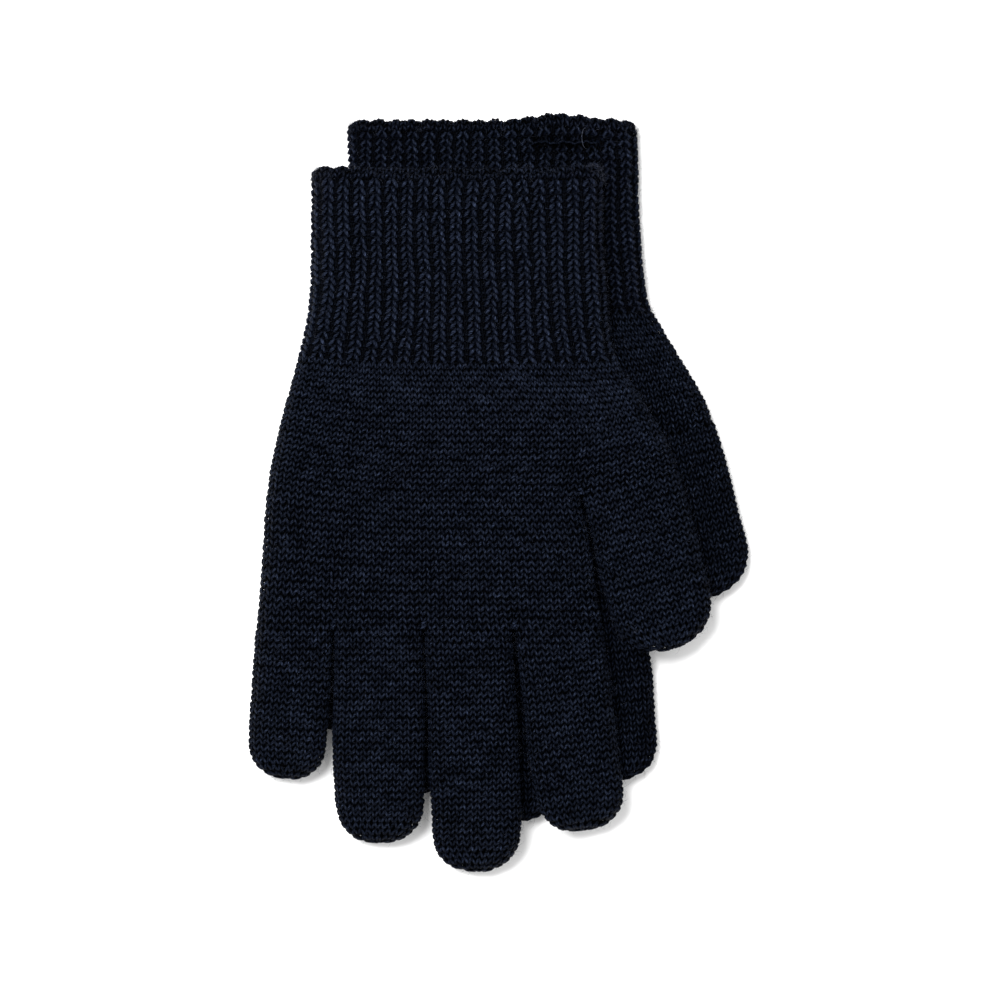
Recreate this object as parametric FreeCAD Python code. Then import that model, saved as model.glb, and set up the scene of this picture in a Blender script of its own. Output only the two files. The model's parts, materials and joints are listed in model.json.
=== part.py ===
import FreeCAD, Part

# A pair of knitted five-finger gloves, one lying on the other with the same side up.
# Each glove is a set of hollow flattened tubes of knitted fabric: a ribbed cuff with a turned
# edge, the heel of the hand, the palm, four fingers and a thumb.
# Millimetres. +Z is up, +Y runs to the cuffs, +X is the thumb side, and the lower glove lies on z = 0.

import os
from math import cos, radians, sin

Vector = FreeCAD.Vector
Z_AXIS = Vector(0, 0, 1)

# Fabric
THICKNESS = 7.8         # a glove lying flat, outside to outside
WALL = 1.6              # one layer of knitted fabric
GAP = 0.3               # air between pieces that move apart
PRESS = 0.05            # how far a tube is made too thick, before its faces are pressed flat
FAR = 100.0             # longer than any piece, for blocks that trim

# Levels along the glove, from the finger crotches up to the mouth of the cuff
KNUCKLE_Y = 0.0
THUMB_Y = 34.6          # the crotch of the thumb
WRIST_Y = 70.2          # where the rib ends and the plain knit starts
WELT_Y = 116.5          # the foot of the turned edge
MOUTH_Y = 119.1

# Sections across the glove: (y, left edge, right edge), x from the middle of the cuff mouth
MOUTH = (MOUTH_Y, -37.9, 37.9)
WELT_FOOT = (WELT_Y, -37.9, 37.9)
WRIST = (WRIST_Y, -41.0, 41.5)
CUFF = (WELT_FOOT, (95.5, -38.0, 38.6), (80.5, -38.9, 39.6), WRIST)
HEEL = (WRIST, (57.2, -45.3, 50.5), (45.5, -48.1, 56.7), (THUMB_Y, -49.4, 60.1))
PALM = ((THUMB_Y, -49.4, 33.0), (18.2, -50.5, 36.0), (KNUCKLE_Y, -52.1, 38.6))

# Digits: the middle of the base, the width and length, and the tilt towards the thumb side
FINGERS = {
    "little_finger": {"x": -41.9, "width": 20.7, "length": 39.5, "tilt": -3.2},
    "ring_finger": {"x": -19.6, "width": 23.2, "length": 56.2, "tilt": 0.2},
    "middle_finger": {"x": 3.6, "width": 22.5, "length": 63.7, "tilt": 2.3},
    "index_finger": {"x": 27.1, "width": 23.0, "length": 53.2, "tilt": 7.0},
}
THUMB_WIDTH = 26.0
THUMB_LENGTH = 44.3
THUMB_TILT = 14.0
THUMB_X = 33.3          # the crotch corner, where the thumb's inner edge starts

# Yarn pieces
STITCH_R = 0.9          # the closing stitches at the crotches
STITCH_INSET = 1.1      # from a stitch's middle to the edge of the fabric that it closes
ELASTIC_DEPTH = 0.5     # the thread laid inside the rib
ELASTIC_WIDTH = 0.9
ELASTIC_LEVELS = (76.0, 88.0, 100.0, 112.0)
TAIL_R = 0.6            # the end of the yarn, darned in below the turned edge
TAIL_PROUD = 0.4        # how far the tail stands above the fabric
TAIL_FROM_X = 10.0
TAIL_TO_X = 29.0
TAIL_Y = 115.7

# Where each glove lies: the lower one further to the right and towards the cuffs
LOWER_PLACE = (-1.4, -21.3, 0.0)
UPPER_PLACE = (-11.0, -34.3, THICKNESS + GAP)


def flat_oval(y, left, right, inset):
    """The section of a flattened tube at y, with round sides, moved in by inset."""
    middle = THICKNESS / 2
    r = middle - inset
    x0 = left + middle
    x1 = right - middle
    corners = [Vector(x, y, middle + z) for x, z in ((x0, r), (x1, r), (x1, -r), (x0, -r))]
    right_side = Part.Arc(corners[1], Vector(x1 + r, y, middle), corners[2])
    left_side = Part.Arc(corners[3], Vector(x0 - r, y, middle), corners[0])
    top = Part.LineSegment(corners[0], corners[1])
    bottom = Part.LineSegment(corners[2], corners[3])
    return Part.Wire([edge.toShape() for edge in (top, right_side, bottom, left_side)])


def run_on(inside, end, spare):
    """The section that lies spare beyond end, on the line from the section inside it."""
    share = spare / abs(end[0] - inside[0])
    return tuple(e + (e - i) * share for i, e in zip(inside, end))


def flattened_tube(sections, inset=0.0, spare=0.0):
    """A solid lofted through the sections, run past both ends by spare."""
    if spare:
        first = run_on(sections[1], sections[0], spare)
        last = run_on(sections[-2], sections[-1], spare)
        sections = (first, *sections, last)
    wires = [flat_oval(*section, inset) for section in sections]
    return Part.makeLoft(wires, True, True)


def fabric_tube(sections):
    """A tube of one fabric layer all round, open at both ends, with level faces."""
    pressed = Part.makeBox(4 * FAR, 4 * FAR, THICKNESS, Vector(-2 * FAR, -2 * FAR, 0))
    outside = flattened_tube(sections, -PRESS).common(pressed)
    return outside.cut(flattened_tube(sections, WALL, spare=1.0))


def digit_form(width, length, inset, spare):
    """A digit's outer or inner form: round tip towards -Y, base run on past y = 0 by spare."""
    half = width / 2 - inset
    thickness = THICKNESS - 2 * inset
    round_y = width / 2 - length
    base_left = Vector(-half, spare, inset)
    base_right = Vector(half, spare, inset)
    tip_right = Vector(half, round_y, inset)
    tip_left = Vector(-half, round_y, inset)
    edges = [
        Part.LineSegment(base_left, base_right),
        Part.LineSegment(base_right, tip_right),
        Part.Arc(tip_right, Vector(0, round_y - half, inset), tip_left),
        Part.LineSegment(tip_left, base_left),
    ]
    outline = Part.Wire([edge.toShape() for edge in edges])
    block = Part.Face(outline).extrude(Vector(0, 0, thickness))
    rims = [edge for edge in block.Edges if runs_flat(edge) and edge.BoundBox.YMin < spare - 0.01]
    return block.makeFillet(thickness / 2 - 0.05, rims)


def runs_flat(edge):
    """Whether an edge lies in a level plane."""
    return edge.BoundBox.ZLength < 0.01


def trim_block(x, y, tilt, low_x, low_y):
    """A large block with a corner at low_x, low_y in the frame of a line tilted about x, y."""
    size_x = FAR - low_x
    block = Part.makeBox(size_x, FAR, FAR, Vector(low_x, low_y, -FAR / 2))
    return set_down(block, x, y, tilt)


def set_down(shape, x, y, tilt):
    """The shape turned by tilt about +Z at its origin, then moved to x, y."""
    shape.rotate(Vector(), Z_AXIS, tilt)
    shape.translate(Vector(x, y, 0))
    return shape


def digit(x, y, width, length, tilt, base_tilt):
    """A hollow digit with its base open, trimmed GAP short of the line that it folds along."""
    spare = width / 3
    solid = digit_form(width, length, 0, spare)
    hollow = digit_form(width, length, WALL, spare + 1)
    fabric = set_down(solid.cut(hollow), x, y, tilt)
    return fabric.cut(trim_block(x, y, base_tilt, -FAR, -GAP))


def thumb():
    """The thumb, whose base is square to its own length."""
    half = THUMB_WIDTH / 2
    x = THUMB_X + half * cos(radians(THUMB_TILT))
    y = THUMB_Y + half * sin(radians(THUMB_TILT))
    return digit(x, y, THUMB_WIDTH, THUMB_LENGTH, THUMB_TILT, THUMB_TILT)


def heel():
    """The hand above the thumb crotch, cut off along the line where the thumb starts."""
    below_thumb = trim_block(THUMB_X, THUMB_Y, THUMB_TILT, 0, -FAR)
    return fabric_tube(HEEL).cut(below_thumb)


def crotch_stitches():
    """One stitch through both layers at each finger crotch, and one at the thumb's."""
    fingers = list(FINGERS.values())
    places = []
    for here, beside in zip(fingers, fingers[1:]):
        right_edge = here["x"] + here["width"] / 2
        left_edge = beside["x"] - beside["width"] / 2
        places.append(((right_edge + left_edge) / 2, KNUCKLE_Y + STITCH_INSET))
    tilt = radians(THUMB_TILT)
    places.append((THUMB_X - STITCH_INSET * sin(tilt), THUMB_Y + STITCH_INSET * cos(tilt)))
    height = THICKNESS - 2 * WALL
    return Part.makeCompound([Part.makeCylinder(STITCH_R, height, Vector(x, y, WALL)) for x, y in places])


def elastic_threads():
    """Loops of elastic thread let into the inner face of the rib."""
    layer = flattened_tube(CUFF, WALL - ELASTIC_DEPTH).cut(flattened_tube(CUFF, WALL, spare=1.0))
    loops = []
    for level in ELASTIC_LEVELS:
        slab = Part.makeBox(2 * FAR, ELASTIC_WIDTH, FAR, Vector(-FAR, level, -FAR / 2))
        loops.append(layer.common(slab))
    return Part.makeCompound(loops)


def yarn_tail():
    """The darned-in yarn end: a straight run with round ends, sunk in the top of the rib."""
    z = THICKNESS + TAIL_PROUD - TAIL_R
    start = Vector(TAIL_FROM_X, TAIL_Y, z)
    end = Vector(TAIL_TO_X, TAIL_Y, z)
    run = Part.makeCylinder(TAIL_R, TAIL_TO_X - TAIL_FROM_X, start, Vector(1, 0, 0))
    return run.fuse([Part.makeSphere(TAIL_R, start), Part.makeSphere(TAIL_R, end)]).removeSplitter()


def glove():
    """One glove in its own frame, as node name to shape."""
    elastic = elastic_threads()
    nodes = {
        "cuff_welt": fabric_tube((MOUTH, WELT_FOOT)),
        "cuff_rib": fabric_tube(CUFF).cut(elastic),
        "cuff_elastic": elastic,
        "heel": heel(),
        "palm": fabric_tube(PALM),
        "thumb": thumb(),
        "crotch_stitches": crotch_stitches(),
    }
    for name, finger in FINGERS.items():
        size = (finger["width"], finger["length"], finger["tilt"])
        nodes[name] = digit(finger["x"], KNUCKLE_Y, *size, base_tilt=0)
    return nodes


def main():
    os.makedirs("parts", exist_ok=True)
    upper = glove()
    lower = glove()
    lower["yarn_tail"] = yarn_tail()
    lower["cuff_rib"] = lower["cuff_rib"].cut(lower["yarn_tail"])
    for prefix, nodes, place in (("upper", upper, UPPER_PLACE), ("lower", lower, LOWER_PLACE)):
        for name, shape in nodes.items():
            shape.translate(Vector(*place))
            shape.exportStep(f"parts/{prefix}_{name}.step")


main()
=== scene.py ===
"""A pair of knitted five-finger gloves, dark navy wool, one lying on the other.

Every stitch is a loop of yarn. A section of a glove is a flattened tube, described by a surface
that takes s, the way round the tube as a fraction, and v, the way along it in millimetres. Rows of
loops are laid on that surface, over a thin inner layer of yarn that closes the fabric.
Lengths are in millimetres in each glove's own frame until a mesh is made: x from the middle of the
cuff's mouth, y from the finger crotches up to the mouth, z from the surface that the glove lies on.
"""

import json
import math

import bpy
import numpy as np
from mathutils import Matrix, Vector

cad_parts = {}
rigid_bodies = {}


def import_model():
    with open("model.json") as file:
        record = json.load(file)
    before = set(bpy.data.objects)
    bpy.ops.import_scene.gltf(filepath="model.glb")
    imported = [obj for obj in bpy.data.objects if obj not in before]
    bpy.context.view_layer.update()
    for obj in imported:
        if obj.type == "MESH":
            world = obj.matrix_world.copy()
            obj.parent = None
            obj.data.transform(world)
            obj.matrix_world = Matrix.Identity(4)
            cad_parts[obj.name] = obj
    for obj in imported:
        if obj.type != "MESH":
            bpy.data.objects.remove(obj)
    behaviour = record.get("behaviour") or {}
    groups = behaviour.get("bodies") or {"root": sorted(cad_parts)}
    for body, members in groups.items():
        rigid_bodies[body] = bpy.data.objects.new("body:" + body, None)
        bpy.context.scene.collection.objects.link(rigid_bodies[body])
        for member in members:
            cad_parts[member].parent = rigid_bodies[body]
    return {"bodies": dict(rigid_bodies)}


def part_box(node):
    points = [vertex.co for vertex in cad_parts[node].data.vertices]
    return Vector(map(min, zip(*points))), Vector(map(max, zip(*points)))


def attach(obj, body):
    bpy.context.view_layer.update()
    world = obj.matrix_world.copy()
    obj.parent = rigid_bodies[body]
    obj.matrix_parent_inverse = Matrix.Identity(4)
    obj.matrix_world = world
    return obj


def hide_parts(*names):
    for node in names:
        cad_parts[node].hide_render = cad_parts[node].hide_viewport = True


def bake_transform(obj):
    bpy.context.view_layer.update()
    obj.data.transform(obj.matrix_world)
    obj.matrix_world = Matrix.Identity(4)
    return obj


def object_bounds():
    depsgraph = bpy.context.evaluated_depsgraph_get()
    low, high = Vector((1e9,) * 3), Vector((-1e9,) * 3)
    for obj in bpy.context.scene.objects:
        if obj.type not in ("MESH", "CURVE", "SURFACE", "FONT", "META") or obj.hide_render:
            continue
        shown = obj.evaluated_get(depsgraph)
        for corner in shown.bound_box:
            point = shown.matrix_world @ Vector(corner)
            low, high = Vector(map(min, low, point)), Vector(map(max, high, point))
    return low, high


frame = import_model()
cad_low, cad_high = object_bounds()

MM = 0.001
rng = np.random.default_rng(11)

# Fabric
LAYER = 1.6                 # one layer of knit, outside to inside
LEG_DEPTH = 0.46            # how far a stitch's legs stand in front of the middle of the layer
YARN_R = 0.39
SHELL_DEPTH = 0.66          # the inner layer, behind the middle of the knit
RIB_SHELL_DEPTH = 0.55
WELT_SHELL_DEPTH = 0.25
SIDE_SHELL_SHARE = 0.25     # at the cuff's two sides, the share of that depth which is left
YARN_FLATNESS = 0.92        # the yarn's thickness against its width
# Painted light and shade on the yarn follow how far each point stands in front of the layer's middle
PAINTED_LIT_ABOVE = 0.88         # the height in front of the layer's middle where the yarn's painted light is brightest
PAINTED_SHADE_BELOW = -0.05          # the height where the painted shade is darkest
RIB_PAINTED_SHADE_BELOW = -0.75
CAD_GAP = 0.3               # air between the two gloves

# Wool
PLIES = 3
TWIST = 0.42                # turns per millimetre of yarn
FIBRE_FINENESS = (8.0, 0.8, 1.0)    # streaks round the yarn and per millimetre along it
DEEPEST_PAINTED_SHADE = 0.012             # the painted shade's brightness deep between stitches, as a share of the brightest

# How much stitches differ: along the row in stitches, down it in courses, depth, radius as a share
UNEVEN_ACROSS, UNEVEN_DOWN, UNEVEN_DEPTH, UNEVEN_RADIUS = 0.05, 0.09, 0.08, 0.09
SHADE_UNEVEN_SHARE = 0.3               # how much of the unevenness in depth still shows in the painted brightness
WAVES_PER_FACE = 6
WANDER_HEIGHT = 0.14        # gentle waves that shift the fabric sideways
FACE_HEIGHTS = {"upper": 0.12, "lower": 0.05}
WAVE_SLOPE = 0.14           # radians per millimetre, typically

# The hand's outline: level, left edge, right edge
CUFF_EDGES = ((119.1, -37.9, 37.9), (95.5, -38.0, 38.6), (80.5, -38.9, 39.6), (70.2, -41.0, 41.5),
              (57.2, -45.3, 50.5), (45.5, -48.1, 56.7), (34.6, -49.4, 60.1), (25.0, -50.0, 63.0))
PALM_EDGES = ((45.0, -48.1, 30.6), (34.6, -49.4, 33.0), (18.2, -50.5, 36.0), (0.0, -52.1, 38.6),
              (-8.0, -52.8, 39.9))
EDGE_SOFTNESS = 3.0         # how far the corners of the outline are rounded

# Digits: the middle of the base, width, length, and tilt towards the thumb side
FINGERS = {
    "little_finger": (-41.9, 20.7, 39.5, -3.2),
    "ring_finger": (-19.6, 23.2, 56.2, 0.2),
    "middle_finger": (3.6, 22.5, 63.7, 2.3),
    "index_finger": (27.1, 23.0, 53.2, 7.0),
}
THUMB_X, THUMB_WIDTH, THUMB_LENGTH, THUMB_TILT = 33.3, 26.0, 44.3, 14.0

# Gauge
PLAIN_COURSE = 1.63
DIGIT_WALE = 1.92
DIGIT_COURSE = 1.61
HEEL_WALES = 54             # across the top of the heel
HEEL_WALES_TO_PALM = 41     # of those, how many run on into the palm
PALM_WALES = 43
RIBS = 37                   # round the whole cuff
RIB_COURSE = 1.75
RIB_PITCH = 4.37
WELT_COURSE = 1.2
WELT_DEEP = 1.2             # how far the turned edge's small stitches reach down from its top
RIB_SHARE = 0.80            # of a rib's width, how much is the raised column

# The turned edge
CUFF_HALF_WIDTH = 38.0
PUCKER_X, PUCKER_WIDTH, PUCKER_RISE = 17.7, 9.0, 1.7    # over the lower glove's darned-in end
CORNER_X, CORNER_WIDTH, CORNER_DROP = 34.6, 2.6, 1.3
WELT_ROLL = 0.9             # the turned edge's radius, at the middle of the layer
WELT_TURN = 0.85            # how far round that roll the stitches go, of half a turn
WELT_FADE = 5.0             # how far down the cuff the edge's shape fades
ELASTIC_LEVELS = (76.0, 88.0, 100.0, 112.0)
TAIL_FROM_X, TAIL_TO_X, TAIL_Y = 10.0, 28.0, 114.1
CREASE_DEPTH, CREASE_WIDTH, CREASE_END = 0.46, 1.35, 3.0
CREASE_SHADE = 0.9          # painted shade in the crease: how much deeper the rib's yarn counts as lying there

# How rows run across the hand: at the turned edge, the wrist, the thumb crotch and the knuckles
ROW_CLIMB = (0, 3.0, 4.5, 0)
ROW_DIP = (0, 1.0, 0, 0)
ROW_SLANT = (0, 0.3, 1, 0)
CLIMB_X, CLIMB_WIDTH = -5.0, 45.0   # rows climb from here to the little finger's side

# Where the fabric is drawn in
WRIST_DRAW, WRIST_DRAW_DOWN, WRIST_DRAW_LENGTH = 0.32, 5.5, 3.6
CROTCH_FADE = 6.0           # how far above a crotch the fabric dips towards it
CROTCH_REACH = 0.9          # how far past the tube's half thickness the dip reaches
FINGER_CROTCH_DEPTH, THUMB_CROTCH_DEPTH = 0.93, 0.9

# Digits
FULLNESS = 0.04             # how much wider a digit is halfway along it
TIP_POWER = 2.3             # 2 would be a round tip, and more is squarer
ROW_TURN = 16.0             # over this length a finger's rows turn from the palm's to its own
SPREAD = 10.0               # degrees that the lower index finger can turn

# How far the upper glove droops past the lower one's edge
SAG_FROM, SAG_REACH, SAG_BLUR = 1.0, 15.0, 14

# Picture
FIELD = 262.6 * MM          # what the frame shows across, at the height of the gloves
CAMERA_HEIGHT = 1.2
CAMERA_OFFSET = (0.7 * MM, -0.5 * MM)
SENSOR = 36.0
FLOOR = 3.0


class Glove:
    """The frame of one glove and its levels, read from its CAD pieces."""

    def __init__(self, prefix):
        self.prefix = prefix
        boxes = {n: np.array([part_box(f"{prefix}_{n}")]) / MM for n in ("cuff_welt", "heel", "palm")}
        welt, heel, palm = (boxes[n].reshape(2, 3) for n in ("cuff_welt", "heel", "palm"))
        self.place = np.array([welt[:, 0].mean(), palm[0, 1], palm[0, 2]])
        self.thickness = palm[1, 2] - palm[0, 2]
        self.thumb_y = palm[1, 1] - palm[0, 1]
        self.wrist_y = heel[1, 1] - palm[0, 1]
        self.mouth_y = welt[1, 1] - palm[0, 1]
        self.half = (self.thickness - LAYER) / 2
        self.middle = self.thickness / 2
        # points along a stitch and faces round the yarn; most of the lower glove is covered
        self.samples, self.sides = (12, 5) if prefix == "upper" else (10, 4)

    def mouth_wave(self, x):
        """How far the turned edge stands past its level: it puckers over the lower one's darned-in end."""
        scallop = 0.30 * np.sin(2 * math.pi * x / RIB_PITCH) + 0.14 * np.sin(x * 0.83 + 1.0)
        corner = -CORNER_DROP * np.clip((np.abs(x) - CORNER_X) / CORNER_WIDTH, 0, 1) ** 2
        if self.prefix == "lower":
            pucker = PUCKER_RISE * np.exp(-(((x - PUCKER_X) / PUCKER_WIDTH) ** 2))
            return 1.2 + pucker + scallop + corner
        return 0.9 + np.abs(x / CUFF_HALF_WIDTH) ** 3 + scallop + corner


def crease(x, y):
    """How deep the darned-in end draws the lower cuff in, 0 to 1."""
    from_start = smoothstep((x - TAIL_FROM_X + 1) / CREASE_END)
    from_end = smoothstep((TAIL_TO_X + 1 - x) / CREASE_END)
    return from_start * from_end * np.exp(-(((y - TAIL_Y) / CREASE_WIDTH) ** 2))


def groove(across, half, above, depth):
    """How full the tube is near a crotch: a dip with round sides that fades further above it."""
    near = np.clip(1 - np.abs(across) / (half + CROTCH_REACH), 0, 1)
    dip = 1 - np.sqrt(1 - near**2 + 1e-4)
    return 1 - depth * dip * np.exp(-above / CROTCH_FADE)


def softplus(d, softness):
    """A ramp that starts at 0 with a rounded corner."""
    return softness * np.log1p(np.exp(np.clip(d / softness, -30, 30)))


def smoothstep(t):
    t = np.clip(t, 0, 1)
    return t * t * (3 - 2 * t)


def rounded_outline(stations):
    """Level, left and right edge, sampled finely with the corners rounded."""
    y, left, right = np.array(sorted(stations)).T
    step = 0.25
    reach = int(3 * EDGE_SOFTNESS / step)
    weights = np.exp(-0.5 * (np.arange(-reach, reach + 1) * step / EDGE_SOFTNESS) ** 2)
    weights /= weights.sum()
    fine = np.arange(y[0], y[-1] + step / 2, step)
    sides = []
    for edge in (left, right):
        along = np.interp(fine, y, edge)
        before = along[0] - (along[1] - along[0]) * np.arange(reach, 0, -1)
        after = along[-1] + (along[-1] - along[-2]) * np.arange(1, reach + 1)
        sides.append(np.convolve(np.concatenate([before, along, after]), weights, "valid"))
    return fine, sides[0], sides[1]


class HandSurface:
    """The cuff with the heel, or the palm. v is measured from the turned edge's middle."""

    def __init__(self, glove, outline, palm=None):
        """palm is the palm's surface, when this one is the cuff and heel above it."""
        self.glove = glove
        self.palm = palm
        self.outline = outline
        self.top_y = glove.mouth_y - LAYER / 2 - WELT_ROLL
        self.v_wrist = self.top_y - glove.wrist_y
        self.v_thumb = self.top_y - glove.thumb_y
        self.v_knuckle = self.top_y
        self.v_table = np.arange(-4.0, self.v_knuckle + 4.0, 0.5)
        self.left = self.solve_edge(1)
        self.right = self.solve_edge(2)

    def row_y(self, x, v):
        """The level of row v at x: rows climb at both sides, as the hand widens below the wrist."""
        bends = np.array([0, self.v_wrist, self.v_thumb, self.v_knuckle])
        climb = np.interp(v, bends, ROW_CLIMB)
        dip = np.interp(v, bends, ROW_DIP)
        slant = np.interp(v, bends, ROW_SLANT) * math.tan(math.radians(THUMB_TILT))
        side = np.clip((CLIMB_X - x) / CLIMB_WIDTH, 0, 1.2)
        mouth = self.glove.mouth_wave(x) * np.exp(-np.maximum(v, 0) / WELT_FADE)
        return self.top_y - v + climb * side**2 - dip + slant * softplus(x - THUMB_X, 2.5) + mouth

    def solve_edge(self, side):
        """The layer's middle at the outline's left or right edge, for each row of the table."""
        x = np.full(len(self.v_table), -40.0 if side == 1 else 40.0)
        for _ in range(6):
            x = np.interp(self.row_y(x, self.v_table), self.outline[0], self.outline[side])
        return x + (LAYER / 2 if side == 1 else -LAYER / 2)

    def width_at(self, v):
        """The way over the tube's top at v, from side to side."""
        across = np.interp(v, self.v_table, self.right) - np.interp(v, self.v_table, self.left)
        return across + (math.pi - 2) * self.glove.half

    def wale_at(self, x, v, wales):
        """Which wale of the top is at x, as a number with a fraction."""
        left = np.interp(v, self.v_table, self.left)
        return (x - left + (math.pi / 2 - 1) * self.glove.half) / self.width_at(v) * wales

    def spread(self, q, v, width):
        """Where wale q lies across the heel: even at the wrist, and in step with the palm's wales below."""
        if self.palm is None:
            return q
        to_palm = HEEL_WALES_TO_PALM / HEEL_WALES
        share = HEEL_WALES_TO_PALM / PALM_WALES * self.palm.width_at(self.v_thumb) / width
        beyond = share + (q - to_palm) / (1 - to_palm) * (1 - share)
        below = np.where(q < to_palm, q / to_palm * share, beyond)
        t = smoothstep((v - self.v_wrist) / (self.v_thumb - self.v_wrist))
        return q + (below - q) * t

    def at(self, s, v):
        """The points at s and v, in the glove's own frame."""
        glove = self.glove
        s = np.mod(s, 1.0)
        top = s < 0.5
        q = np.where(top, 2 * s, 2 - 2 * s)
        angle = np.clip(-v / WELT_ROLL, 0, math.pi)
        inward = WELT_ROLL * (1 - np.cos(angle))
        half = glove.half - inward
        left = np.interp(v, self.v_table, self.left) + inward
        right = np.interp(v, self.v_table, self.right) - inward
        quarter = math.pi * half / 2
        width = right - left - 2 * half + 2 * quarter
        along = self.spread(q, v, width) * width
        phi = np.clip(np.minimum(along, width - along) / half, 0, math.pi / 2)
        in_side = half * (1 - np.cos(phi))
        x = np.where(along < quarter, left + in_side,
                     np.where(along > width - quarter, right - in_side, left + half + along - quarter))
        y = self.row_y(x, np.maximum(v, 0)) + WELT_ROLL * np.sin(angle)
        z = half * np.sin(phi) * np.where(top, 1, -1)
        return np.stack([x, y, glove.middle + z * self.pinch(x, y)], -1)

    def pinch(self, x, y):
        """How full the tube is: it closes towards each crotch, and draws in a little below the rib."""
        glove = self.glove
        below_wrist = glove.wrist_y - WRIST_DRAW_DOWN
        full = 1 - WRIST_DRAW * np.exp(-(((y - below_wrist) / WRIST_DRAW_LENGTH) ** 2))
        if glove.prefix == "lower":
            full = full * (1 - CREASE_DEPTH * crease(x, y))
        if self.palm is None:
            for x_crotch in finger_crotches():
                full = full * groove(x - x_crotch, glove.half, np.clip(y, 0, None), FINGER_CROTCH_DEPTH)
            return full
        tilt = math.radians(THUMB_TILT)
        dx, dy = x - THUMB_X, y - glove.thumb_y
        across = dx * math.cos(tilt) + dy * math.sin(tilt)
        above = np.clip(dy * math.cos(tilt) - dx * math.sin(tilt), 0, None)
        return full * groove(across, glove.half, above, THUMB_CROTCH_DEPTH)


def finger_crotches():
    """Where neighbouring fingers meet."""
    spots = []
    fingers = list(FINGERS.values())
    for (x, width, _, _), (next_x, next_width, _, _) in zip(fingers, fingers[1:]):
        spots.append((x + width / 2 + next_x - next_width / 2) / 2)
    return spots


class DigitSurface:
    """A finger or the thumb. v runs from its base along the middle of a face and over the tip."""

    def __init__(self, glove, x, y, width, length, tilt, level_base):
        """level_base: the base is level with the palm's rows, not square to the digit."""
        self.glove = glove
        self.base = np.array([x, y])
        self.half_width = width / 2 - LAYER / 2
        self.length = length - LAYER / 2
        self.tilt = math.radians(tilt)
        self.level_base = level_base
        self.flat_end = self.length - glove.half
        self.v_end = self.flat_end + glove.half * math.pi / 2

    def at(self, s, v):
        """The points at s and v, in the glove's own frame."""
        glove = self.glove
        s = np.mod(s, 1.0)
        top = s < 0.5
        q = np.where(top, 2 * s, 2 - 2 * s)
        over = np.clip((v - self.flat_end) / glove.half, 0, math.pi / 2)
        down = np.minimum(v, self.flat_end) + glove.half * np.sin(over)
        thin = np.cos(over)
        into_tip = np.clip((down - (self.length - self.half_width)) / self.half_width, 0, 0.999)
        fullness = 1 + FULLNESS * np.sin(math.pi * np.clip(v / self.v_end, 0, 1))
        wide = self.half_width * fullness * (1 - into_tip**TIP_POWER) ** (1 / TIP_POWER)
        half = np.maximum(np.minimum(glove.half * thin, wide), 0.02)
        quarter = math.pi * half / 2
        width = 2 * wide - 2 * half + 2 * quarter
        along = q * width
        phi = np.clip(np.minimum(along, width - along) / half, 0, math.pi / 2)
        in_side = half * (1 - np.cos(phi))
        x = np.where(along < quarter, in_side - wide,
                     np.where(along > width - quarter, wide - in_side, along - quarter + half - wide))
        z = half * np.sin(phi) * np.where(top, 1, -1)
        y = -down
        if self.level_base:
            y = y - x * math.tan(self.tilt) * (1 - smoothstep(v / ROW_TURN))
        c, n = math.cos(self.tilt), math.sin(self.tilt)
        return np.stack([self.base[0] + x * c - y * n, self.base[1] + x * n + y * c, glove.middle + z], -1)

    def wales_at(self, v):
        """How many wales fit round the digit at v."""
        ring = self.at(np.linspace(0, 1, 200), np.full(200, float(v)))
        return np.linalg.norm(np.diff(ring, axis=0), axis=1).sum() / DIGIT_WALE


def frames(surface, s, v):
    """Points on the surface with their outward normals."""
    here = surface.at(s, v)
    step_s, step_v = 1e-4, 0.02
    round_way = surface.at(s + step_s, v) - surface.at(s - step_s, v)
    along_way = surface.at(s, v + step_v) - surface.at(s, v - step_v)
    normal = np.cross(along_way, round_way)
    length = np.linalg.norm(normal, axis=-1, keepdims=True)
    return here, normal / np.maximum(length, 1e-12)


def plain_stitch(samples):
    """One loop of plain knit: the way along the row in stitches, the way down in courses, depth, radius."""
    t = (np.arange(samples) + 0.5) / samples * 2 * math.pi
    across = t / (2 * math.pi) + 0.285 * np.sin(2 * t)
    down = -0.76 * np.cos(t)
    out = -LEG_DEPTH * np.cos(2 * t)
    radius = YARN_R * (0.90 - 0.14 * np.cos(2 * t))
    return across, down, out, radius


def rib_stitch(samples):
    """One rib: a raised knit stitch, then a sunk purl stitch seen from its back."""
    half = samples // 2
    t = (np.arange(half) + 0.5) / half * 2 * math.pi
    knit_across = RIB_SHARE * (t / (2 * math.pi) + 0.28 * np.sin(2 * t))
    purl_across = RIB_SHARE + (1 - RIB_SHARE) * (t / (2 * math.pi) + 0.10 * np.sin(2 * t))
    across = np.concatenate([knit_across, purl_across])
    down = np.concatenate([-0.66 * np.cos(t), -0.45 * np.cos(t)])
    ends = np.cos(t / 2) ** 8
    knit_out = 0.12 - 0.45 * np.cos(2 * t) * (1 - ends) - 0.50 * ends
    purl_out = -0.25 + 0.20 * np.cos(2 * t) * (1 - ends)
    out = np.concatenate([knit_out, purl_out])
    radius = np.concatenate([0.46 - 0.08 * np.cos(2 * t), np.full(half, 0.36)])
    return across, down, out, radius


def uneven(rows, columns, samples, size):
    """A random amount per stitch, eased from each stitch to the next along the row."""
    per_stitch = rng.normal(0, size, (rows, columns))
    t = ((np.arange(samples) + 0.5) / samples)[None, None, :]
    mixed = per_stitch[:, :, None] * (1 - t) + np.roll(per_stitch, -1, 1)[:, :, None] * t
    return mixed


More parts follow.
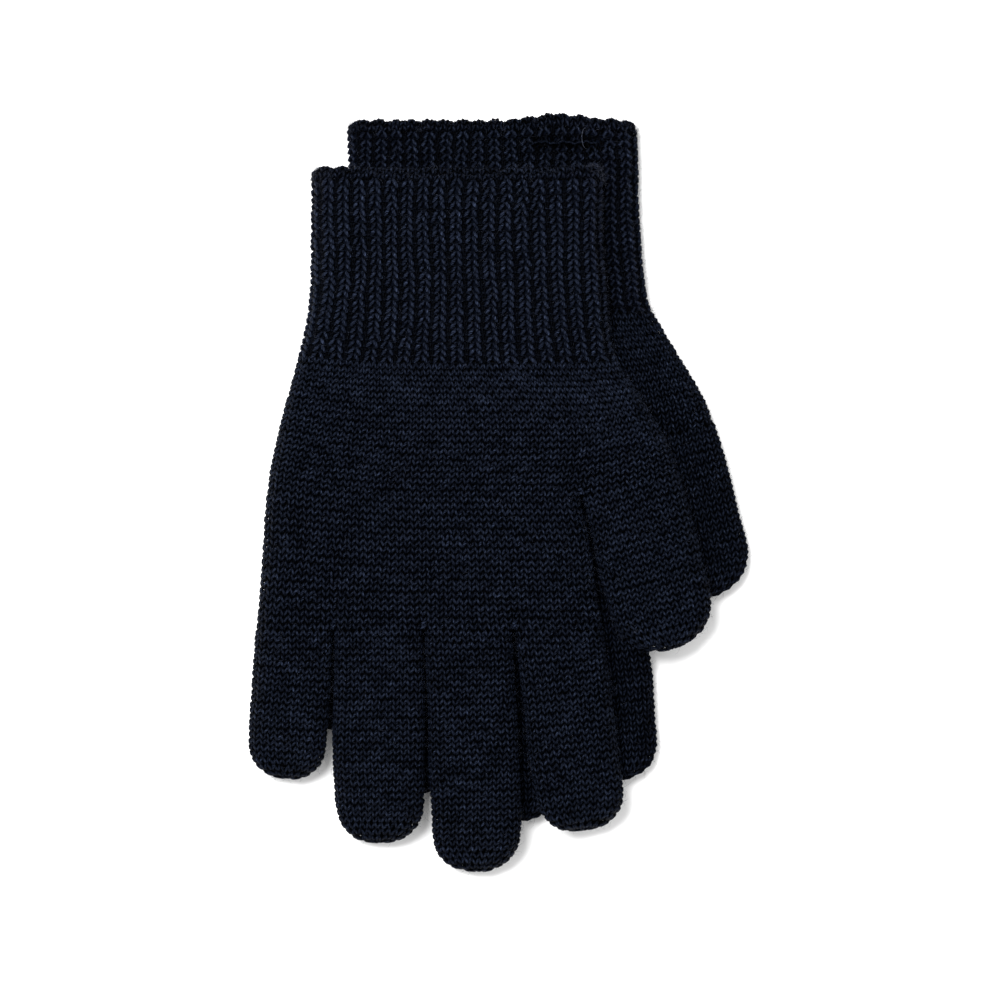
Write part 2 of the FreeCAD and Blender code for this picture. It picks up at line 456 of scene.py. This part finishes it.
def lay_rows(surface, levels, columns, stitch, samples, course, phase=0.0):
    """The yarn of some rows: its middle line, normals, radius and height, each (rows, points).

    The height is what the yarn's painted light and shade follow. It varies less than the yarn does
    from stitch to stitch, so that the painted brightness is smoother.
    """
    across, down, out, radius = stitch(samples)
    levels = np.asarray(levels, float)
    rows = len(levels)
    k = np.arange(columns)[None, :, None]
    across = across[None, None, :] + uneven(rows, columns, samples, UNEVEN_ACROSS)
    lift = uneven(rows, columns, samples, UNEVEN_DOWN)
    s = (k + across + phase) / columns
    v = levels[:, None, None] + (down[None, None, :] + lift) * course
    v = np.broadcast_to(v, s.shape)
    points, normals = frames(surface, s, v)
    depth = out[None, None, :] + uneven(rows, columns, samples, UNEVEN_DEPTH)
    points = points + normals * depth[..., None]
    # the height that the painted light and shade follow
    height = out[None, None, :] + SHADE_UNEVEN_SHARE * (depth - out[None, None, :])
    r = np.broadcast_to(radius[None, None, :] * (1 + uneven(rows, columns, samples, UNEVEN_RADIUS)), s.shape)
    shape = (rows, columns * samples)
    return points.reshape(*shape, 3), normals.reshape(*shape, 3), r.reshape(shape), height.reshape(shape)


class MeshData:
    """Vertices, quads, yarn coordinates and material numbers gathered for one piece."""

    def __init__(self):
        self.points, self.quads, self.uv, self.slots, self.light, self.count = [], [], [], [], [], 0

    def add(self, points, quads, uv, slot, light):
        """slot is the number of the material, and light the painted light and shade of each point."""
        self.quads.append(quads + self.count)
        self.points.append(points)
        self.light.append(light.ravel())
        self.uv.append(uv)
        self.slots.append(np.full(len(quads), slot, np.int32))
        self.count += len(points)

    def add_yarn(self, centre, normal, radius, height=None, slot=0, sides=5, closed=True,
                 painted_shade_below=PAINTED_SHADE_BELOW):
        """Yarn swept along rows of points, closed into rings or with open ends.

        height is how far the yarn's middle stands in front of the layer's middle. From it each point
        gets a painted brightness: painted shade where the yarn lies deep, and painted light further out
        and on the side of the yarn that faces out.
        """
        rows, n, _ = centre.shape
        if closed:
            tangent = np.roll(centre, -1, 1) - np.roll(centre, 1, 1)
        else:
            tangent = np.gradient(centre, axis=1)
        tangent /= np.maximum(np.linalg.norm(tangent, axis=-1, keepdims=True), 1e-9)
        side = np.cross(tangent, normal)
        side /= np.maximum(np.linalg.norm(side, axis=-1, keepdims=True), 1e-9)
        up = np.cross(side, tangent)
        turn = (np.arange(sides) / sides * 2 * math.pi)[None, None, :, None]
        ring = side[:, :, None] * np.cos(turn) + up[:, :, None] * np.sin(turn) * YARN_FLATNESS
        points = centre[:, :, None] + ring * radius[:, :, None, None]
        run = np.linalg.norm(np.diff(centre, axis=1), axis=-1)
        run = np.concatenate([np.zeros((rows, 1)), np.cumsum(run, 1)], 1)
        run += rng.uniform(0, 400, (rows, 1))       # so that the fibres of neighbouring rows differ
        spans = n if closed else n - 1
        i = np.arange(rows)[:, None, None] * n
        j = np.arange(spans)[None, :, None]
        a = np.arange(sides)[None, None, :]
        j2, a2 = (j + 1) % n, (a + 1) % sides
        quads = np.stack([(i + j) * sides + a, (i + j2) * sides + a, (i + j2) * sides + a2,
                          (i + j) * sides + a2], -1).reshape(-1, 4)
        run_next = np.concatenate([run[:, 1:], run[:, -1:] + 0.5], 1)[:, :spans]
        u0 = np.broadcast_to(run[:, :spans, None], (rows, spans, sides))
        u1 = np.broadcast_to(run_next[:, :, None], (rows, spans, sides))
        w0 = np.broadcast_to(a / sides, u0.shape)
        w1 = w0 + 1 / sides
        uv = np.stack([np.stack(p, -1) for p in ((u0, w0), (u1, w0), (u1, w1), (u0, w1))], -2)
        if height is None:
            light = np.ones(points.shape[:-1])
        else:
            # painted light and shade: brighter the further the yarn stands out, and on its outward side
            light = height[:, :, None] + (np.sin(turn) * YARN_FLATNESS * radius[:, :, None, None])[..., 0]
            light = np.clip((light - painted_shade_below) / (PAINTED_LIT_ABOVE - painted_shade_below), 0, 1)
        self.add(points.reshape(-1, 3), quads, uv.reshape(-1, 2), slot, light)

    def add_sheet(self, grid, slot):
        """A grid of points as quads, closed round its second way."""
        rows, n, _ = grid.shape
        i = np.arange(rows - 1)[:, None] * n
        j = np.arange(n)[None, :]
        j2 = (j + 1) % n
        quads = np.stack([i + j, i + n + j, i + n + j2, i + j2], -1).reshape(-1, 4)
        uv = np.stack([grid[..., 0], grid[..., 1]], -1).reshape(-1, 2)
        self.add(grid.reshape(-1, 3), quads, uv[quads].reshape(-1, 2), slot, np.zeros(rows * n))

    def build(self, name, glove, materials):
        """The mesh object, settled into place in the row frame, in metres."""
        points = settle(glove, np.concatenate(self.points) + glove.place) * MM
        quads = np.concatenate(self.quads)
        mesh = bpy.data.meshes.new(name)
        mesh.vertices.add(len(points))
        mesh.vertices.foreach_set("co", points.astype(np.float32).ravel())
        mesh.loops.add(quads.size)
        mesh.loops.foreach_set("vertex_index", quads.astype(np.int32).ravel())
        mesh.polygons.add(len(quads))
        mesh.polygons.foreach_set("loop_start", np.arange(0, quads.size, 4, dtype=np.int32))
        mesh.polygons.foreach_set("material_index", np.concatenate(self.slots))
        mesh.polygons.foreach_set("use_smooth", np.ones(len(quads), bool))
        layer = mesh.uv_layers.new(name="yarn")
        layer.data.foreach_set("uv", np.concatenate(self.uv).astype(np.float32).ravel())
        # the painted light and shade of each point, which scales the yarn's colour
        shade = mesh.attributes.new("light", "FLOAT", "POINT")
        shade.data.foreach_set("value", np.concatenate(self.light).astype(np.float32))
        mesh.update(calc_edges=True)
        for material in materials:
            mesh.materials.append(material)
        piece = bpy.data.objects.new(name, mesh)
        bpy.context.scene.collection.objects.link(piece)
        return piece


def shell(surface, v_from, v_to, round_steps, step=1.4):
    """The inner layer behind the stitches. In the cuff, where v starts below 0, it lies closer to them."""
    levels = np.linspace(v_from, v_to, max(3, int((v_to - v_from) / step) + 1))
    s, v = np.meshgrid(np.arange(round_steps) / round_steps, levels)
    points, normals = frames(surface, s, v)
    depth = np.full(v.shape, SHELL_DEPTH)
    if v_from < 0:
        flat = smoothstep(np.abs(np.sin(2 * math.pi * s)) / 0.22)
        share = SIDE_SHELL_SHARE + (1 - SIDE_SHELL_SHARE) * flat
        depth = np.interp(v, [0.0, 3.0], [WELT_SHELL_DEPTH, RIB_SHELL_DEPTH]) * share
    return points - normals * depth[..., None]


def add_fibres(data, surface, v_from, v_to, count, slot):
    """Stray fibres that stand off the fabric and curl over, half of them along its two sides."""
    steps = 5
    s = rng.random((count, 1))
    s = np.where(rng.random((count, 1)) < 0.5, s, np.round(2 * s) / 2 + rng.normal(0, 0.015, (count, 1)))
    v = rng.uniform(v_from, v_to, (count, 1))
    root, normal = frames(surface, s, v)
    t = np.linspace(0, 1, steps)[None, :, None]
    length = rng.uniform(0.7, 2.0, (count, 1, 1)) * (1 + 0.7 * (rng.random((count, 1, 1)) > 0.93))
    lean = rng.normal(0, 1, (count, 1, 3))
    lean -= (lean * normal).sum(-1, keepdims=True) * normal
    lean /= np.linalg.norm(lean, axis=-1, keepdims=True)
    curl = rng.normal(0, 0.5, (count, 1, 3))
    rise = np.sin(t * 1.9) * rng.uniform(0.25, 0.75, (count, 1, 1))
    line = root + normal * (0.55 + rise * length) + lean * t * length + curl * t**2 * length * 0.5
    radius = 0.022 * (1 - 0.6 * t[..., 0]) * np.ones((count, steps))
    up = np.broadcast_to(normal, line.shape)
    data.add_yarn(line, up, radius, slot=slot, sides=3, closed=False)


def footprint_distance(glove_surfaces):
    """A grid of how far each place lies outside the lower glove's outline, in the row frame."""
    x = np.arange(-90.0, 90.0, 1.0)
    y = np.arange(-115.0, 115.0, 1.0)
    covered = np.zeros((len(x), len(y)), bool)
    for surface, v_from, v_to in glove_surfaces:
        levels = np.arange(v_from, v_to, 0.4)
        s, v = np.meshgrid(np.linspace(0, 0.5, 300), levels)
        points = surface.at(s, v) + surface.glove.place
        i = np.round(points[..., 0] - x[0]).astype(int).ravel()
        j = np.round(points[..., 1] - y[0]).astype(int).ravel()
        covered[i, j] = True
    edge = covered.copy()
    edge[1:-1, 1:-1] &= ~(covered[:-2, 1:-1] & covered[2:, 1:-1] & covered[1:-1, :-2] & covered[1:-1, 2:])
    spots = np.argwhere(edge).astype(float)
    cells = np.stack(np.meshgrid(np.arange(len(x)), np.arange(len(y)), indexing="ij"), -1).astype(float)
    distance = np.full(covered.shape, 1e9)
    for spot in spots:
        distance = np.minimum(distance, ((cells - spot) ** 2).sum(-1))
    distance = np.sqrt(distance)
    distance[covered] = 0
    return x, y, distance


def blurred(grid, times):
    """The grid, averaged with its neighbours a few times."""
    for _ in range(times):
        padded = np.pad(grid, 1, mode="edge")
        grid = (padded[:-2, 1:-1] + padded[2:, 1:-1] + padded[1:-1, :-2] + padded[1:-1, 2:]
                + padded[1:-1, 1:-1] * 2) / 6
    return grid


def look_up(field, points):
    """A grid's value at points, between its cells."""
    x, y, grid = field
    fx = np.clip(points[..., 0] - x[0], 0, len(x) - 1.001)
    fy = np.clip(points[..., 1] - y[0], 0, len(y) - 1.001)
    i, j = fx.astype(int), fy.astype(int)
    a, b = fx - i, fy - j
    return (grid[i, j] * (1 - a) * (1 - b) + grid[i + 1, j] * a * (1 - b) + grid[i, j + 1] * (1 - a) * b
            + grid[i + 1, j + 1] * a * b)


def ripple(points, waves):
    """A gentle unevenness of the fabric, from a few long waves."""
    total = np.zeros(points.shape[:-1])
    for wave_x, wave_y, phase, height in waves:
        total += height * np.sin(points[..., 0] * wave_x + points[..., 1] * wave_y + phase)
    return total


def settle(glove, points):
    """How the soft fabric lies: the upper glove sags past the lower one's edge, faces are uneven, and
    stray fibres underneath are pressed flat."""
    points = points.copy()
    points[..., 0] += ripple(points, WANDER)
    height = (points[..., 2] - glove.place[2]) / glove.thickness
    points[..., 2] += ripple(points, WAVES[glove.prefix]) * np.clip(height, 0, 1)
    if glove.prefix == "upper":
        points[..., 2] -= look_up(SAG, points)
    points[..., 2] = np.maximum(points[..., 2], 0)
    return points


def make_waves(height):
    """Random waves for ripple(): slopes, phase and height."""
    return [(*rng.normal(0, WAVE_SLOPE, 2), rng.uniform(0, 2 * math.pi), height)
            for _ in range(WAVES_PER_FACE)]


# ---------------------------------------------------------------- materials


def node(tree, kind, **values):
    """A shader node with its inputs and settings filled in by name."""
    made = tree.nodes.new(kind)
    for key, value in values.items():
        if key in made.inputs.keys():
            made.inputs[key].default_value = value
        else:
            setattr(made, key, value)
    return made


def maths(tree, operation, *values):
    """The output of a maths node on numbers and other nodes' outputs."""
    made = node(tree, "ShaderNodeMath", operation=operation)
    for socket, value in zip(made.inputs, values):
        if isinstance(value, bpy.types.NodeSocket):
            tree.links.new(value, socket)
        else:
            socket.default_value = value
    return made.outputs[0]


def colour_ramp(tree, factor, stops):
    """The output of a ramp through two or more stops, each a position and a colour."""
    ramp = node(tree, "ShaderNodeValToRGB")
    elements = ramp.color_ramp.elements
    for position, _ in stops[2:]:
        elements.new(position)
    for element, (position, colour) in zip(elements, stops):
        element.position = position
        element.color = (*colour, 1)
    tree.links.new(factor, ramp.inputs[0])
    return ramp.outputs[0]


def new_material(name, roughness, specular):
    """A material with its node tree and shader."""
    material = bpy.data.materials.new(name)
    material.use_nodes = True
    shader = material.node_tree.nodes["Principled BSDF"]
    shader.inputs["Roughness"].default_value = roughness
    shader.inputs["Specular IOR Level"].default_value = specular
    return material, material.node_tree, shader


def yarn_material(name, dark, light):
    """Twisted wool: plies that wind round the yarn, fine fibres along them with painted glints, an uneven
    dye, and painted shade from the light attribute.
    """
    material, tree, shader = new_material(name, roughness=0.5, specular=0.012)
    link = tree.links.new
    uv = node(tree, "ShaderNodeUVMap", uv_map="yarn")
    split = node(tree, "ShaderNodeSeparateXYZ")
    link(uv.outputs[0], split.inputs[0])
    along, round_yarn = split.outputs["X"], split.outputs["Y"]
    # the way round, wound on along the yarn
    wound = maths(tree, "MULTIPLY_ADD", along, TWIST, round_yarn)
    ply = maths(tree, "SINE", maths(tree, "MULTIPLY", wound, 2 * math.pi * PLIES))
    strand = node(tree, "ShaderNodeCombineXYZ")
    link(wound, strand.inputs["X"])
    link(along, strand.inputs["Y"])
    stretch = node(tree, "ShaderNodeVectorMath", operation="MULTIPLY")
    link(strand.outputs[0], stretch.inputs[0])
    stretch.inputs[1].default_value = FIBRE_FINENESS
    fibres = node(tree, "ShaderNodeTexNoise", Scale=1.0, Detail=3.0, Roughness=0.7)
    link(stretch.outputs[0], fibres.inputs["Vector"])
    place = node(tree, "ShaderNodeTexCoord")
    dye = node(tree, "ShaderNodeTexNoise", Scale=130.0, Detail=3.0)
    link(place.outputs["Object"], dye.inputs["Vector"])
    dye_share = maths(tree, "MULTIPLY", dye.outputs[0], 0.05)
    blend = maths(tree, "MULTIPLY_ADD", fibres.outputs[0], 0.75, dye_share)
    # painted glints: the brightest fibre streaks are painted three times as light as the wool
    painted_glint = [3.0 * c for c in light]
    colour = colour_ramp(tree, blend, ((0.345, dark), (0.475, light), (0.555, painted_glint)))
    # painted shade: deep between the stitches, and on the yarn's inward side, the wool is painted dark
    shade = node(tree, "ShaderNodeAttribute", attribute_name="light")
    curve = maths(tree, "POWER", shade.outputs["Fac"], 2.9)
    tinted = node(tree, "ShaderNodeVectorMath", operation="SCALE")
    link(colour, tinted.inputs[0])
    link(maths(tree, "MULTIPLY_ADD", curve, 1 - DEEPEST_PAINTED_SHADE, DEEPEST_PAINTED_SHADE), tinted.inputs["Scale"])
    link(tinted.outputs[0], shader.inputs["Base Color"])
    bump = node(tree, "ShaderNodeBump", Strength=0.7, Distance=0.00022)
    link(maths(tree, "MULTIPLY_ADD", ply, 0.35, fibres.outputs[0]), bump.inputs["Height"])
    link(bump.outputs[0], shader.inputs["Normal"])
    return material


def inner_material():
    """The inside of the fabric: the same wool as small loops, painted darker as shade, darkest at each
    loop's edge.
    """
    material, tree, shader = new_material("inner_wool", roughness=0.95, specular=0.0)
    link = tree.links.new
    place = node(tree, "ShaderNodeTexCoord")
    loops = node(tree, "ShaderNodeTexVoronoi", Scale=700.0)
    link(place.outputs["Object"], loops.inputs["Vector"])
    stops = ((0.0, (0.0026, 0.0036, 0.0068)), (1.0, (0.0009, 0.0012, 0.0025)))
    link(colour_ramp(tree, loops.outputs["Distance"], stops), shader.inputs["Base Color"])
    bump = node(tree, "ShaderNodeBump", Strength=0.8, Distance=0.0006, invert=True)
    link(loops.outputs["Distance"], bump.inputs["Height"])
    link(bump.outputs[0], shader.inputs["Normal"])
    return material


# ---------------------------------------------------------------- pieces


def rows_between(v_from, v_to, course):
    """Evenly spaced rows that fill a stretch."""
    count = max(1, round((v_to - v_from) / course))
    step = (v_to - v_from) / count
    return v_from + (np.arange(count) + 0.5) * step, step


def cuff_piece(glove, surface, materials):
    """The rib and, above it, small plain stitches that roll over the turned edge."""
    data = MeshData()
    roll = WELT_ROLL * math.pi * WELT_TURN
    levels, step = rows_between(-roll, WELT_DEEP, WELT_COURSE)
    data.add_yarn(*lay_rows(surface, levels, 2 * RIBS, plain_stitch, 10, step), sides=glove.sides)
    levels, step = rows_between(WELT_DEEP, surface.v_wrist, RIB_COURSE)
    samples = 2 * (glove.samples - 2)
    points, normals, radius, height = lay_rows(surface, levels, RIBS, rib_stitch, samples, step)
    if glove.prefix == "lower":
        # painted shade along the darned-in end's crease, centred a little below it
        height = height - CREASE_SHADE * crease(points[..., 0], points[..., 1] + 0.4)
    data.add_yarn(points, normals, radius, height, sides=glove.sides, painted_shade_below=RIB_PAINTED_SHADE_BELOW)
    data.add_sheet(shell(surface, -roll, surface.v_wrist, 160), 1)
    add_fibres(data, surface, -roll, surface.v_wrist, 1500, 2)
    add_fibres(data, surface, -roll, WELT_DEEP, 620, 2)
    piece = data.build(f"{glove.prefix}_ribbed_cuff", glove, materials)
    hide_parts(f"{glove.prefix}_cuff_rib", f"{glove.prefix}_cuff_welt")
    return piece


def heel_piece(glove, surface, materials):
    """The plain knit from the rib to the thumb crotch."""
    data = MeshData()
    levels, step = rows_between(surface.v_wrist, surface.v_thumb, PLAIN_COURSE)
    data.add_yarn(*lay_rows(surface, levels, 2 * HEEL_WALES, plain_stitch, glove.samples, step),
                  sides=glove.sides)
    data.add_sheet(shell(surface, surface.v_wrist, surface.v_thumb, 180), 1)
    add_fibres(data, surface, surface.v_wrist, surface.v_thumb, 560, 2)
    piece = data.build(f"{glove.prefix}_heel_knit", glove, materials)
    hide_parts(f"{glove.prefix}_heel")
    return piece


def palm_piece(glove, surface, materials):
    """The plain knit from the thumb crotch to the finger crotches."""
    data = MeshData()
    levels, step = rows_between(surface.v_thumb, surface.v_knuckle, PLAIN_COURSE)
    data.add_yarn(*lay_rows(surface, levels, 2 * PALM_WALES, plain_stitch, glove.samples, step),
                  sides=glove.sides)
    data.add_sheet(shell(surface, surface.v_thumb, surface.v_knuckle, 180), 1)
    add_fibres(data, surface, surface.v_thumb, surface.v_knuckle, 460, 2)
    piece = data.build(f"{glove.prefix}_palm_knit", glove, materials)
    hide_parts(f"{glove.prefix}_palm")
    return piece


def digit_piece(glove, name, surface, beside, wales, materials):
    """A digit, whose first row is in step with the wales of the surface beside it."""
    data = MeshData()
    levels, step = rows_between(0.0, surface.v_end - 0.3, DIGIT_COURSE)
    columns = 2 * round(surface.wales_at(surface.flat_end * 0.4) / 2)
    counts = np.array([min(columns, max(7, round(surface.wales_at(v) * 1.12))) for v in levels])
    level = beside.v_knuckle if beside.palm is None else beside.v_thumb
    phase = (columns / 4 - beside.wale_at(surface.base[0], level, wales)) % 1
    for count in sorted(set(counts), reverse=True):
        chosen = levels[counts == count]
        data.add_yarn(*lay_rows(surface, chosen, count, plain_stitch, glove.samples, step, phase),
                      sides=glove.sides)
    data.add_sheet(shell(surface, 0.0, surface.v_end, 48), 1)
    add_fibres(data, surface, 0.0, surface.v_end - 1, 260, 2)
    piece = data.build(f"{glove.prefix}_{name}_knit", glove, materials)
    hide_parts(f"{glove.prefix}_{name}")
    return piece


def elastic_piece(glove, surface, materials):
    """Covered elastic thread, laid in behind the rib at four levels."""
    data = MeshData()
    levels = surface.top_y - np.array(ELASTIC_LEVELS)
    s, v = np.meshgrid(np.arange(240) / 240, levels)
    points, normals = frames(surface, s, v)
    data.add_yarn(points - normals * (SHELL_DEPTH + 0.25), normals, np.full(s.shape, 0.22))
    piece = data.build(f"{glove.prefix}_elastic_threads", glove, materials)
    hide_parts(f"{glove.prefix}_cuff_elastic")
    return piece


def crotch_piece(glove, materials):
    """A slanting stitch of yarn round the web at each crotch, through both faces."""
    data = MeshData()
    places = [(x, 0.9, 0.55) for x in finger_crotches()]
    tilt = math.radians(THUMB_TILT)
    places.append((THUMB_X - 0.9 * math.sin(tilt), glove.thumb_y + 0.9 * math.cos(tilt), 0.2))
    turn = np.arange(28) / 28 * 2 * math.pi
    for x, y, slant in places:
        for shift in (0.0, 1.0):
            reach = 1.7 * np.cos(turn)
            line = np.stack([x + reach * math.cos(slant), y + shift + reach * math.sin(slant),
                             glove.middle + 2.3 * np.sin(turn)], -1)
            outward = np.stack([np.cos(turn) * math.cos(slant), np.cos(turn) * math.sin(slant),
                                np.sin(turn)], -1)
            data.add_yarn(line[None], outward[None], np.full((1, len(turn)), 0.36))
    piece = data.build(f"{glove.prefix}_closing_stitches", glove, materials)
    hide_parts(f"{glove.prefix}_crotch_stitches")
    return piece


def tail_piece(glove, materials):
    """The end of the yarn, darned in across the ribs, and a fine loop of fibre pulled out of it."""
    data = MeshData()
    x = np.linspace(TAIL_FROM_X, TAIL_TO_X, 90)
    ends = np.clip(np.minimum(x - TAIL_FROM_X, TAIL_TO_X - x) / 1.2, 0, 1)
    wave = np.sin(x * 2 * math.pi / RIB_PITCH * 2)
    z = glove.thickness + 0.30 * wave - 1.30 - 1.0 * (1 - ends) ** 2
    y = TAIL_Y + 0.22 * np.sin(x * 1.1) + 0.12 * wave
    line = np.stack([x, y, z], -1)[None]
    up = np.broadcast_to([0.0, 0.0, 1.0], line.shape)
    # the tail's painted light and shade are those of yarn 0.30 mm in front of the layer's middle
    data.add_yarn(line, up, np.full((1, 90), 0.34), height=np.full((1, 90), 0.30), closed=False, sides=7)
    t = np.linspace(0, math.pi, 40)
    loop = np.stack([TAIL_TO_X - 3.6 - 1.1 * np.sin(t), TAIL_Y + 1.0 - 2.7 * np.cos(t),
                     glove.thickness - 0.4 + 1.5 * np.sin(t)], -1)[None]
    up = np.broadcast_to([0.0, 0.0, 1.0], loop.shape)
    data.add_yarn(loop, up, np.full((1, 40), 0.08), closed=False, slot=1)
    piece = data.build("lower_darned_in_end", glove, materials)
    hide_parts("lower_yarn_tail")
    return piece


def surfaces_of(glove):
    """The surfaces of one glove's cuff and heel, palm and digits, by name."""
    palm = HandSurface(glove, rounded_outline(PALM_EDGES))
    found = {"cuff": HandSurface(glove, rounded_outline(CUFF_EDGES), palm), "palm": palm}
    for name, (x, width, length, tilt) in FINGERS.items():
        found[name] = DigitSurface(glove, x, 0.0, width, length, tilt, True)
    tilt = math.radians(THUMB_TILT)
    x = THUMB_X + THUMB_WIDTH / 2 * math.cos(tilt)
    y = glove.thumb_y + THUMB_WIDTH / 2 * math.sin(tilt)
    found["thumb"] = DigitSurface(glove, x, y, THUMB_WIDTH, THUMB_LENGTH, THUMB_TILT, False)
    return found


def spread_index_finger():
    """The lower index finger's surface, turned about its outer base corner as far as it goes."""
    x, width, length, tilt = FINGERS["index_finger"]
    corner = x + width / 2 / math.cos(math.radians(tilt))
    turned = math.radians(SPREAD)
    base = (corner - width / 2 * math.cos(turned), -width / 2 * math.sin(turned))
    return DigitSurface(gloves["lower"], *base, width, length, tilt + SPREAD, False)


def sag_field():
    """How far the upper glove drops where it overhangs the lower one, wherever its index finger is."""
    lower = surfaces["lower"]
    cuff, palm, spread = lower["cuff"], lower["palm"], spread_index_finger()
    covers = [(cuff, 0.0, cuff.v_thumb), (palm, palm.v_thumb, palm.v_knuckle)]
    covers += [(lower[name], 0.0, lower[name].v_end) for name in (*FINGERS, "thumb")]
    covers.append((spread, 0.0, spread.v_end))
    x, y, distance = footprint_distance(covers)
    drop = gloves["upper"].place[2] - CAD_GAP
    return x, y, blurred(drop * smoothstep((distance - SAG_FROM) / SAG_REACH), SAG_BLUR)


WANDER = make_waves(WANDER_HEIGHT)
WAVES = {prefix: make_waves(height) for prefix, height in FACE_HEIGHTS.items()}
gloves = {prefix: Glove(prefix) for prefix in ("lower", "upper")}
surfaces = {prefix: surfaces_of(glove) for prefix, glove in gloves.items()}
SAG = sag_field()

wool = yarn_material("navy_wool", (0.0009, 0.0014, 0.0037), (0.0160, 0.0220, 0.0405))
rib_wool = yarn_material("navy_rib_wool", (0.0009, 0.0014, 0.0037), (0.0140, 0.0190, 0.0350))
inside = inner_material()
elastic_cover = yarn_material("elastic_cover", (0.003, 0.0035, 0.006), (0.012, 0.014, 0.02))
fibre = yarn_material("loose_fibre", (0.013, 0.016, 0.027), (0.065, 0.072, 0.098))

for prefix, glove in gloves.items():
    parts = surfaces[prefix]
    hand_body = "upper_hand" if prefix == "upper" else "lower_glove"
    cuff = cuff_piece(glove, parts["cuff"], (rib_wool, inside, fibre))
    heel = heel_piece(glove, parts["cuff"], (wool, inside, fibre))
    palm = palm_piece(glove, parts["palm"], (wool, inside, fibre))
    elastic = elastic_piece(glove, parts["cuff"], (elastic_cover,))
    crotches = crotch_piece(glove, (wool,))
    for piece in (heel, palm, crotches):
        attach(piece, hand_body)
    # the upper cuff and its elastic keep their meshes where they lie, with no parent
    if prefix == "upper":
        for piece in (cuff, elastic):
            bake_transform(piece)
    else:
        for piece in (cuff, elastic, tail_piece(glove, (wool, fibre))):
            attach(piece, "lower_glove")
    for name in (*FINGERS, "thumb"):
        surface = parts[name]
        beside, wales = (parts["cuff"], HEEL_WALES) if name == "thumb" else (parts["palm"], PALM_WALES)
        piece = digit_piece(glove, name, surface, beside, wales, (wool, inside, fibre))
        body = f"{prefix}_{name}"
        if body in frame["bodies"]:
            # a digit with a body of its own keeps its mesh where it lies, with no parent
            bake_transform(piece)
        else:
            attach(piece, hand_body)

# ---------------------------------------------------------------- stage


def look_down_camera():
    """A camera straight above the gloves."""
    centre = (np.array(cad_low) + np.array(cad_high)) / 2
    data = bpy.data.cameras.new("camera")
    data.sensor_width = SENSOR
    data.lens = SENSOR * CAMERA_HEIGHT / FIELD
    camera = bpy.data.objects.new("camera", data)
    camera.location = (centre[0] + CAMERA_OFFSET[0], centre[1] + CAMERA_OFFSET[1], CAMERA_HEIGHT)
    bpy.context.scene.collection.objects.link(camera)
    bpy.context.scene.camera = camera


def pale_floor():
    """The large pale sheet that the gloves lie on."""
    mesh = bpy.data.meshes.new("floor")
    corners = [(-FLOOR, -FLOOR, 0), (FLOOR, -FLOOR, 0), (FLOOR, FLOOR, 0), (-FLOOR, FLOOR, 0)]
    mesh.from_pydata(corners, [], [(0, 1, 2, 3)])
    floor = bpy.data.objects.new("floor", mesh)
    bpy.context.scene.collection.objects.link(floor)
    paper = bpy.data.materials.new("pale_floor")
    paper.use_nodes = True
    shader = paper.node_tree.nodes["Principled BSDF"]
    shader.inputs["Base Color"].default_value = (0.93, 0.93, 0.93, 1)
    shader.inputs["Roughness"].default_value = 0.9
    mesh.materials.append(paper)


def area_light(name, location, size, power):
    """A round light that shines at the origin."""
    data = bpy.data.lights.new(name, "AREA")
    data.shape = "DISK"
    data.size = size
    data.energy = power
    light = bpy.data.objects.new(name, data)
    light.location = location
    light.rotation_mode = "QUATERNION"
    light.rotation_quaternion = (-Vector(location)).to_track_quat("-Z", "Y")
    bpy.context.scene.collection.objects.link(light)


look_down_camera()
pale_floor()
area_light("key", (-0.40, 0.46, 1.29), size=0.68, power=36)

world = bpy.data.worlds.new("studio")
world.use_nodes = True
world.node_tree.nodes["Background"].inputs["Color"].default_value = (1, 1, 1, 1)
world.node_tree.nodes["Background"].inputs["Strength"].default_value = 1.0
bpy.context.scene.world = world
bpy.context.scene.view_settings.view_transform = "Standard"
